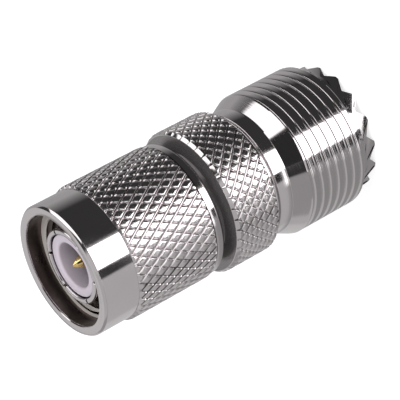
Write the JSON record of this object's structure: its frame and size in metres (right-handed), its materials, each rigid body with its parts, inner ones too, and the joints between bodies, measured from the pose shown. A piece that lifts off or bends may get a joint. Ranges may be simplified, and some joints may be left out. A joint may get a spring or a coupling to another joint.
{
  "type": "coax adapter",
  "caption": "Straight coax adapter: a threaded plug with a free-turning knurled nut and centre pin at one end, a threaded socket with a toothed rim at the other.",
  "frame": {"origin": "centre of the ring of tooth tips at the socket end, on the common axis", "axes": "+Z along the common axis, out of the plug's mouth; X and Y are square to it, with a slot of the ferrule 20 degrees round from +X towards +Y"},
  "size_m": [0.0158, 0.0158, 0.0354],
  "materials": {
    "nickel": "bright nickel plate on turned brass",
    "gold": "gold plate on brass",
    "spring_steel": "plain spring steel",
    "ptfe": "white PTFE, waxy",
    "silicone": "grey silicone rubber"
  },
  "bodies": {
    "adapter": {"main_body": "nickel", "outer_contact": "nickel", "front_insulator": "ptfe", "centre_pin": "gold", "gasket": "silicone", "snap_ring": "spring_steel", "rear_insulator": "ptfe", "retaining_ring": "nickel", "socket_contact": "gold"},
    "nut": {"coupling_nut": "nickel"}
  },
  "joints": [
    {"name": "nut_turn", "type": "hinge", "parent": "adapter", "child": "nut", "pos_m": [0, 0, 0.028], "axis": [0, 0, 1], "continuous": true}
  ]
}
